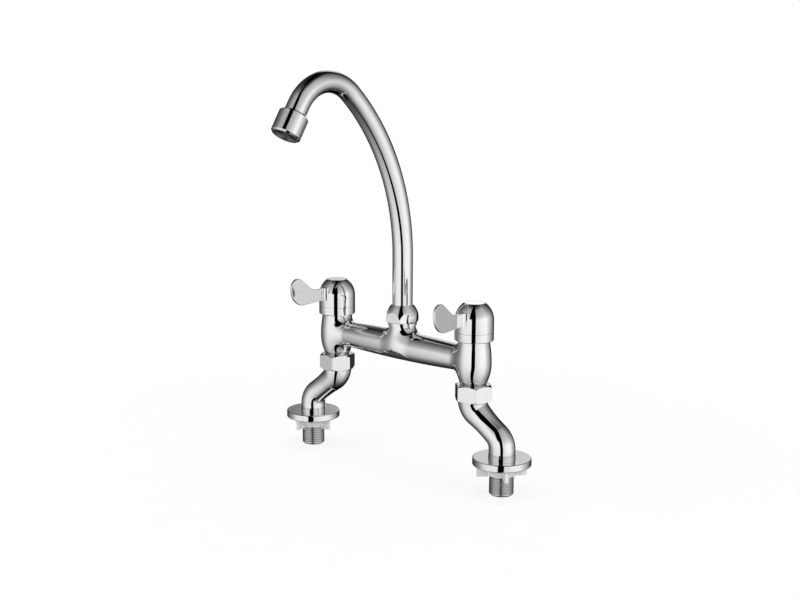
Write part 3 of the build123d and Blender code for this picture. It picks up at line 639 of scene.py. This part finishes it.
def trimmed_skin(field, sizes):
    """The casting's skin, settled on the field and cut level where rings and nuts begin."""
    tuck, on_cut = 0.0002, 1e-7              # metres into the collar; points this near are cut
    made = rough_casting(field, sizes)
    points = np.empty(len(made.vertices) * 3)
    made.vertices.foreach_get("co", points)
    points, _ = field.settled(points.reshape(-1, 3))
    made.vertices.foreach_set("co", points.ravel())
    shape = bmesh.new()
    shape.from_mesh(made)
    bpy.data.meshes.remove(made)
    collar = sizes.collar_height + tuck
    for height in (sizes.neck_height, sizes.top_height, collar):
        bmesh.ops.bisect_plane(shape, geom=[*shape.verts, *shape.edges, *shape.faces],
                               dist=on_cut, plane_co=(0, 0, height), plane_no=(0, 0, 1))

    def outside(face):
        x, _, z = face.calc_center_median()
        if field.at_valve(x):
            return not sizes.neck_height < z < sizes.top_height
        return z > collar

    bmesh.ops.delete(shape, geom=[face for face in shape.faces if outside(face)],
                     context="FACES")
    shape.verts.index_update()
    places = np.array([vertex.co for vertex in shape.verts])
    faces = [[vertex.index for vertex in face.verts] for face in shape.faces]
    shape.free()
    return places, faces


def cast_bridge(sizes):
    """The CAD bridge body with its outer skin redrawn as one softly blended casting."""
    field = Casting(sizes)
    places, faces = trimmed_skin(field, sizes)
    _, normals = field.settled(places, 0)
    corners = [normals[index] for face in faces for index in face]
    redrawn("bridge_casting", "bridge_body", "bridge", "chrome", places, faces, corners,
            field.on_skin)


# ---- the legs' bent runs ----------------------------------------------------------------------
def unit(vectors):
    """The vectors, each one long."""
    return vectors / np.linalg.norm(vectors, axis=-1, keepdims=True)


def leg_run(sizes):
    """A leg's centreline in its own plane: places, directions, radii and how far along."""
    stations, bend_points = 97, 33
    reach = stations // 8                    # half the width over which the radii are smoothed
    corners = np.array([(sizes.crank, sizes.low), (sizes.crank, sizes.foot_height),
                        (0, sizes.head_height), (0, sizes.top)])
    dense = [corners[:1]]
    for before, corner, after, curve in zip(corners, corners[1:], corners[2:],
                                            (sizes.foot_curve, sizes.head_curve)):
        inward, outward = unit(corner - before), unit(after - corner)
        half = math.acos(float(inward @ outward)) / 2
        towards = unit(outward - inward)
        centre = corner + towards * curve / math.cos(half)
        swing = np.linspace(-half, half, bend_points)[:, None]
        dense.append(centre + curve * (np.sin(swing) * unit(inward + outward)
                                       - np.cos(swing) * towards))
    dense = np.vstack((*dense, corners[-1:]))
    walked = np.concatenate(([0], np.cumsum(np.linalg.norm(np.diff(dense, axis=0), axis=1))))
    even = np.linspace(0, walked[-1], stations)
    places = np.stack([np.interp(even, walked, dense[:, k]) for k in range(2)], axis=1)
    radii = np.interp(even / walked[-1], np.linspace(0, 1, len(sizes.radii)), sizes.radii)
    window = np.hanning(2 * reach + 1)
    radii = np.convolve(np.pad(radii, reach, "edge"), window / window.sum(), "valid")
    return places, unit(np.gradient(places, even, axis=0)), radii, even


def cast_leg(sizes, side):
    """The CAD leg with its bent run redrawn as one smooth sweep around its bore."""
    segments, edge = 96, 2e-5                # round the leg; metres clear of its level ends
    way = 1 if side == "right" else -1
    origin = np.array((valve_axis(side), 0, 0))
    out = np.array((way * math.cos(sizes.turn), way * math.sin(sizes.turn), 0))
    flank = np.cross(out, (0, 0, 1))
    run, heading, radii, even = leg_run(sizes)
    spine = origin + run[:, :1] * out + run[:, 1:] * np.array((0, 0, 1))
    ahead = heading[:, :1] * out + heading[:, 1:] * np.array((0, 0, 1))
    inside = np.cross(flank, ahead)
    bend = (np.gradient(ahead, even, axis=0) * inside).sum(axis=1)
    taper = np.gradient(radii, even)
    around = np.linspace(0, 2 * math.pi, segments, endpoint=False)
    spoke = (np.cos(around)[None, :, None] * inside[:, None, :]
             + np.sin(around)[None, :, None] * flank)
    squeeze = 1 - (bend * radii)[:, None] * np.cos(around)[None, :]
    skin = unit(spoke * squeeze[:, :, None] - taper[:, None, None] * ahead[:, None, :])
    outer = spine[:, None, :] + radii[:, None, None] * spoke
    inner = spine[:, None, :] + sizes.bore * spoke
    count = len(spine)
    places = np.vstack((outer.reshape(-1, 3), inner[::-1].reshape(-1, 3)))
    ring_normals = [*skin, *(-spoke[::-1])]
    faces, corners = [], []
    for first in range(2 * count):
        second = (first + 1) % (2 * count)
        cap = {count - 1: ahead[-1], 2 * count - 1: -ahead[0]}.get(first)
        for k in range(segments):
            follow = (k + 1) % segments
            spots = ((first, k), (first, follow), (second, follow), (second, k))
            faces.append([ring * segments + place for ring, place in spots])
            corners.extend(ring_normals[ring][place] if cap is None else cap
                           for ring, place in spots)

    def hidden(centres):
        return (centres[:, 2] > sizes.low + edge) & (centres[:, 2] < sizes.top - edge)

    redrawn(f"leg_casting_{side}", f"leg_{side}", f"leg_{side}", "leg",
            places, faces, corners, hidden)


# ---- the outlet's housing and face -------------------------------------------------------------
def node_points(name):
    """A CAD node's vertices in the shared frame."""
    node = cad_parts[name]
    return np.array([node.matrix_world @ vertex.co for vertex in node.data.vertices])


def turned_piece(name, profile, place, node, finish_key, hollow=False):
    """A turned piece that takes a CAD node's place on the spout."""
    crease = math.radians(30)
    shape = bmesh.new()
    turned_ring(shape, profile, place, hollow)
    mesh = bpy.data.meshes.new(name)
    shape.to_mesh(mesh)
    shape.free()
    mesh.polygons.foreach_set("use_smooth", [True] * len(mesh.polygons))
    mesh.set_sharp_from_angle(angle=crease)
    seat(name, mesh, node, "spout", finish_key)


def turn_outlet(sizes):
    """The housing with its mouth groove and bevelled rim, and the ridged face in its recess."""
    disc, body = node_points("aerator_mesh"), node_points("aerator_housing")
    spread = np.linalg.svd(disc - disc.mean(axis=0), full_matrices=False)[2]
    axis = Vector(spread[2])                 # the disc is thinnest along the outlet's axis
    if axis.z > 0:
        axis.negate()
    turn = axis.to_track_quat("Z", "Y").to_matrix()
    flat, deep = disc @ np.array(turn), body @ np.array(turn)
    middle = (flat.min(axis=0) + flat.max(axis=0)) / 2
    top, length = deep[:, 2].min(), np.ptp(deep[:, 2])
    place = Matrix.Translation(turn @ Vector((middle[0], middle[1], top))) @ turn.to_4x4()
    back, front = flat[:, 2].min() - top, flat[:, 2].max() - top
    face_radius = np.ptp(flat[:, 0]) / 2
    turned_piece("outlet_housing", housing_profile(sizes, length, face_radius),
                 place, "aerator_housing", "chrome", hollow=True)
    # the outlet's face has a finish whose dark colour is painted shade
    turned_piece("outlet_face", face_profile(sizes, face_radius, back, front),
                 place, "aerator_mesh", "outlet")


def housing_profile(sizes, length, face_radius):
    """Radius and depth round the housing's section, from its upper edge."""
    outer, inner = sizes.radius, sizes.radius - sizes.lip_width
    recess, socket, groove = length - sizes.lip_depth, length / 2, 2 * sizes.groove
    return [(outer - sizes.shoulder, 0), (outer, sizes.shoulder), (outer, length - sizes.bevel),
            (outer - sizes.bevel, length), (inner, length), (inner, recess),
            (face_radius, recess), (face_radius, socket), (sizes.bore, socket),
            (sizes.bore, groove), (sizes.bore + sizes.groove, groove),
            (sizes.bore + sizes.groove, 0)]


def face_profile(sizes, face_radius, back, front):
    """Radius and depth over the face, from its back edge in to the middle."""
    valley = (front - back) * 0.8            # how deep it lies between two ridges
    valley_shape = ((0, 0), (0.15, valley), (0.5, valley), (0.62, 0))      # pitches in, and depth
    plain_rim = 0.25                         # flat part next to the housing's rim, in pitches
    pitch = (sizes.radius - sizes.lip_width) / (sizes.ridges + 2 * plain_rim)
    outline = [(face_radius, back), (face_radius, front)]
    for ridge in range(sizes.ridges, 0, -1):
        edge = pitch * (ridge + plain_rim)
        outline += [(edge - pitch * inward, front - depth) for inward, depth in valley_shape]
    return outline


# ---- one operator for each group of pieces -----------------------------------------------------
class FAUCET_OT_bridge(bpy.types.Operator):
    """Draws the bridge's skin as one casting and plates it, the cover rings and the spout nut"""
    bl_idname = "faucet.bridge"
    bl_label = "Plate the bridge"

    def execute(self, context):
        cast_bridge(context.scene.faucet_casting)
        coat("chrome", "cover_ring_left", "cover_ring_right", "spout_nut")
        return {"FINISHED"}


class FAUCET_OT_handles(bpy.types.Operator):
    """Plates the lever handles and their blank caps"""
    bl_idname = "faucet.handles"
    bl_label = "Plate the handles"

    def execute(self, context):
        for side in SIDES:
            coat("chrome", f"handle_{side}", f"index_cap_{side}")
        return {"FINISHED"}


class FAUCET_OT_spout(bpy.types.Operator):
    """Plates the swan-neck spout and turns its outlet's housing and ridged face"""
    bl_idname = "faucet.spout"
    bl_label = "Plate the spout"

    def execute(self, context):
        coat("chrome", "spout_tube")
        coat("dark_plastic", "aerator_insert")
        turn_outlet(context.scene.faucet_outlet)
        return {"FINISHED"}


class FAUCET_OT_legs(bpy.types.Operator):
    """Draws the legs' bent runs, and finishes the legs and what clamps or joins them"""
    bl_idname = "faucet.legs"
    bl_label = "Plate the legs"

    def execute(self, context):
        for side in SIDES:
            cast_leg(context.scene.faucet_legs, side)
            coat("chrome", f"flange_{side}", f"union_nut_{side}")
            coat("white_nylon", f"backnut_{side}")
            coat("rubber", f"deck_gasket_{side}", f"union_washer_{side}")
            coat("stainless", f"union_clip_{side}")
        return {"FINISHED"}


class FAUCET_OT_valves(bpy.types.Operator):
    """Finishes the valves and seals inside"""
    bl_idname = "faucet.valves"
    bl_label = "Finish the valves"

    def execute(self, context):
        for side in SIDES:
            coat("brass", f"headwork_{side}", f"spindle_{side}")
            coat("ceramic", f"fixed_disc_{side}", f"moving_disc_{side}")
            coat("rubber", f"seat_seal_{side}", f"spindle_rings_{side}")
            coat("stainless", f"spindle_clip_{side}", f"handle_screw_{side}")
        coat("brass", "spout_spigot")
        coat("rubber", "spout_rings", "aerator_washer")
        coat("white_nylon", "spout_slip_ring")
        return {"FINISHED"}


# ---- the studio ---------------------------------------------------------------------------------
CARDS = (                     # degrees round from the camera's side, to its right: brightness
    (-180, 0.0), (-150, 0.04), (-138, 0.08), (-126, 0.17), (-112, 0.26), (-98, 0.43), (-90, 0.58),
    (-83, 0.72), (-75, 0.84), (-66, 0.92), (-50, 0.94), (-38, 0.96), (-20, 0.97), (-18.5, 0.0),
    (4.5, 0.0), (6, 0.82), (22, 0.88), (37, 1.0), (52, 1.05), (72, 1.04), (82, 0.86), (97, 0.58),
    (112, 0.42), (121, 0.28), (140, 0.04), (180, 0.0))
FALLOFF = (                   # degrees above the horizon: share of that brightness
    (-90, 0.03), (-75, 0.10), (-67, 0.18), (-55, 0.42), (-46, 0.58), (-38, 0.70), (-30, 0.80),
    (-22, 0.88), (-14, 0.95), (-5, 1.0), (8, 1.0), (16, 0.80), (27, 0.60), (42, 0.52), (57, 0.42),
    (66, 0.16), (78, 0.03), (90, 0.0))
# The soft edges below run from one value to another. A turn is in radians round from the camera's
# side; a height and a reach to the camera's right are parts of a direction one long.
CARD_LEAN = (-0.19, -0.75, 0.0, 0.18)        # heights, and how far the cards turn between them
GAP_LEFT, GAP_RIGHT, GAP_FOOT = (-0.60, -0.54), (0.12, 0.08), (0.10, 0.24)
PANE_SIDES, PANE_FOOT, PANE_HEAD = (2.72, 2.86), (0.05, 0.09), (0.68, 0.56)
PANE_ACROSS = (-0.12, 0.03, 0.15, 1.08)      # reaches, and the pane's brightness there
PANE_UPWARD = (0.18, 0.25, 1.0, 0.6)         # heights, and the share of it there
FILL = 0.55                                  # brightness that lights matt surfaces
LAMPS = (                                    # place, diameter and watts
    ("lamp_left", (-0.9, -1.5, 1.3), 1.2, 10.0),
    ("lamp_right", (1.7, -0.2, 1.1), 1.0, 7.0),
    ("lamp_top", (0.0, 0.2, 2.2), 1.6, 14.0))
LAMP_AIM = (0, 0, 0.1)
FLOOR_GAP = 0.0002                           # below the tails
FLOOR_TONES = (0.93, 0.93, 0.93, 1), (0.97, 0.97, 0.97, 1)
FLOOR_GLOW = (0.2, 0.6, 0.86, 1.0)           # metres from the middle, and the share of white
SENSOR_WIDTH = 36


class FAUCET_OT_studio(bpy.types.Operator):
    """Builds the pale floor, the lit surroundings, the lamps and the camera"""
    bl_idname = "faucet.studio"
    bl_label = "Set up the studio"

    def execute(self, context):
        studio = context.scene.faucet_studio
        self.floor(context, studio)
        self.surroundings(context, studio)
        self.lamps(context)
        self.camera(context, studio)
        return {"FINISHED"}

    def floor(self, context, studio):
        """A matt disc that fades to plain white where it is looked at away from the object."""
        mesh = bpy.data.meshes.new("studio_floor")
        shape = bmesh.new()
        bmesh.ops.create_circle(shape, cap_ends=True, segments=96, radius=studio.floor)
        bmesh.ops.translate(shape, verts=shape.verts, vec=(0, 0, cad_box[0][2] - FLOOR_GAP))
        shape.to_mesh(mesh)
        shape.free()
        floor = bpy.data.objects.new("studio_floor", mesh)
        context.scene.collection.objects.link(floor)
        paint = bpy.data.materials.new("studio_floor")
        paint.use_nodes = True
        sheet = Sheet(paint.node_tree)
        place = sheet.node("ShaderNodeTexCoord", output="Object")
        tone = sheet.colours(sheet.noise(place, scale=30.0, detail=3.0), *FLOOR_TONES)
        matt = sheet.node("ShaderNodeBsdfDiffuse", {}, {"Color": tone}, "BSDF")
        glow = sheet.node("ShaderNodeEmission", {}, {"Color": (1, 1, 1, 1)}, "Emission")
        distance = sheet.node("ShaderNodeVectorMath", {"operation": "LENGTH"}, {0: place}, "Value")
        white = self.background_rays(sheet) * distance.step(*FLOOR_GLOW)
        end(sheet, sheet.node("ShaderNodeMixShader", {}, {0: white, 1: matt, 2: glow}, "Shader"))
        mesh.materials.append(paint)
        floor.visible_glossy = False

    def background_rays(self, sheet):
        """1 for rays that look at the backdrop straight or through something clear."""
        rays = [sheet.node("ShaderNodeLightPath", output=f"Is {kind} Ray")
                for kind in ("Camera", "Transmission")]
        return rays[0] + rays[1]

    def surroundings(self, context, studio):
        """What the plating reflects: pale cards around, dark gaps by the camera, a pane behind."""
        world = bpy.data.worlds.new("studio_surroundings")
        context.scene.world = world
        world.use_nodes = True
        sheet = Sheet(world.node_tree)
        look = sheet.node("ShaderNodeTexCoord", output="Generated")
        side, ahead = math.sin(studio.azimuth), math.cos(studio.azimuth)
        near = sheet.along(look, (side, -ahead, 0))
        across = sheet.along(look, (ahead, side, 0))
        height = sheet.along(look, (0, 0, 1))
        turn = near.angle(across)
        cards = sheet.ramp((turn + height.step(*CARD_LEAN)) * (0.5 / math.pi) + 0.5,
                           [(angle / 360 + 0.5, level) for angle, level in CARDS])
        share = sheet.ramp(height * 0.5 + 0.5,
                           [(math.sin(math.radians(angle)) / 2 + 0.5, level)
                            for angle, level in FALLOFF])
        gap = turn.step(*GAP_LEFT) * turn.step(*GAP_RIGHT) * height.step(*GAP_FOOT)
        opening = abs(turn).step(*PANE_SIDES) * height.step(*PANE_FOOT) * height.step(*PANE_HEAD)
        pane = across.step(*PANE_ACROSS) * height.step(*PANE_UPWARD)
        reflected = cards * share * (1.0 - gap) * (1.0 - opening) + pane * opening
        diffuse = sheet.node("ShaderNodeLightPath", output="Is Diffuse Ray")
        level = reflected * (1.0 - diffuse) + FILL * diffuse
        backdrop = self.background_rays(sheet)
        level = level * (1.0 - backdrop) + backdrop
        end(sheet, sheet.node("ShaderNodeBackground", {}, {"Color": level, "Strength": 1.0},
                              "Background"), "ShaderNodeOutputWorld")

    def lamps(self, context):
        """Large soft lamps left and right of the camera and overhead."""
        for name, place, diameter, watts in LAMPS:
            data = bpy.data.lights.new(name, "AREA")
            data.shape = "DISK"
            data.size = diameter
            data.energy = watts
            lamp = bpy.data.objects.new(name, data)
            lamp.location = place
            lamp.rotation_euler = (Vector(LAMP_AIM) - Vector(place)).to_track_quat(
                "-Z", "Y").to_euler()
            lamp.visible_glossy = False
            lamp.visible_camera = False
            context.scene.collection.objects.link(lamp)

    def camera(self, context, studio):
        """The photograph's view."""
        data = bpy.data.cameras.new("studio_camera")
        data.lens = studio.lens
        data.sensor_width = SENSOR_WIDTH
        data.shift_x, data.shift_y = studio.shift
        camera = bpy.data.objects.new("studio_camera", data)
        camera.location = studio.place
        camera.rotation_euler = studio.aim
        context.scene.collection.objects.link(camera)
        context.scene.camera = camera
        context.scene.view_settings.view_transform = "Standard"


STEPS = (FAUCET_OT_bridge, FAUCET_OT_handles, FAUCET_OT_spout, FAUCET_OT_legs, FAUCET_OT_valves,
         FAUCET_OT_studio)
GROUPS = {"faucet_plating": FaucetPlating, "faucet_casting": FaucetCasting,
          "faucet_legs": FaucetLegs, "faucet_outlet": FaucetOutlet,
          "faucet_studio": FaucetStudio}


class FAUCET_PT_panel(bpy.types.Panel):
    """Lists the finishing steps and their settings"""
    bl_label = "Bridge faucet"
    bl_idname = "FAUCET_PT_panel"
    bl_space_type = "VIEW_3D"
    bl_region_type = "UI"
    bl_category = "Faucet"

    def draw(self, context):
        for step in STEPS:
            self.layout.operator(step.bl_idname)
        for name in GROUPS:
            box = self.layout.box()
            settings = getattr(context.scene, name)
            for key in settings.__annotations__:
                box.prop(settings, key)


def register():
    for part in (*GROUPS.values(), *STEPS, FAUCET_PT_panel):
        bpy.utils.register_class(part)
    for name, group in GROUPS.items():
        setattr(bpy.types.Scene, name, PointerProperty(type=group))


def unregister():
    for name in GROUPS:
        delattr(bpy.types.Scene, name)
    for part in (FAUCET_PT_panel, *reversed(STEPS), *reversed(list(GROUPS.values()))):
        bpy.utils.unregister_class(part)


def main():
    register()
    for step in STEPS:
        group, name = step.bl_idname.split(".")
        getattr(getattr(bpy.ops, group), name)()


if __name__ == "__main__":
    main()
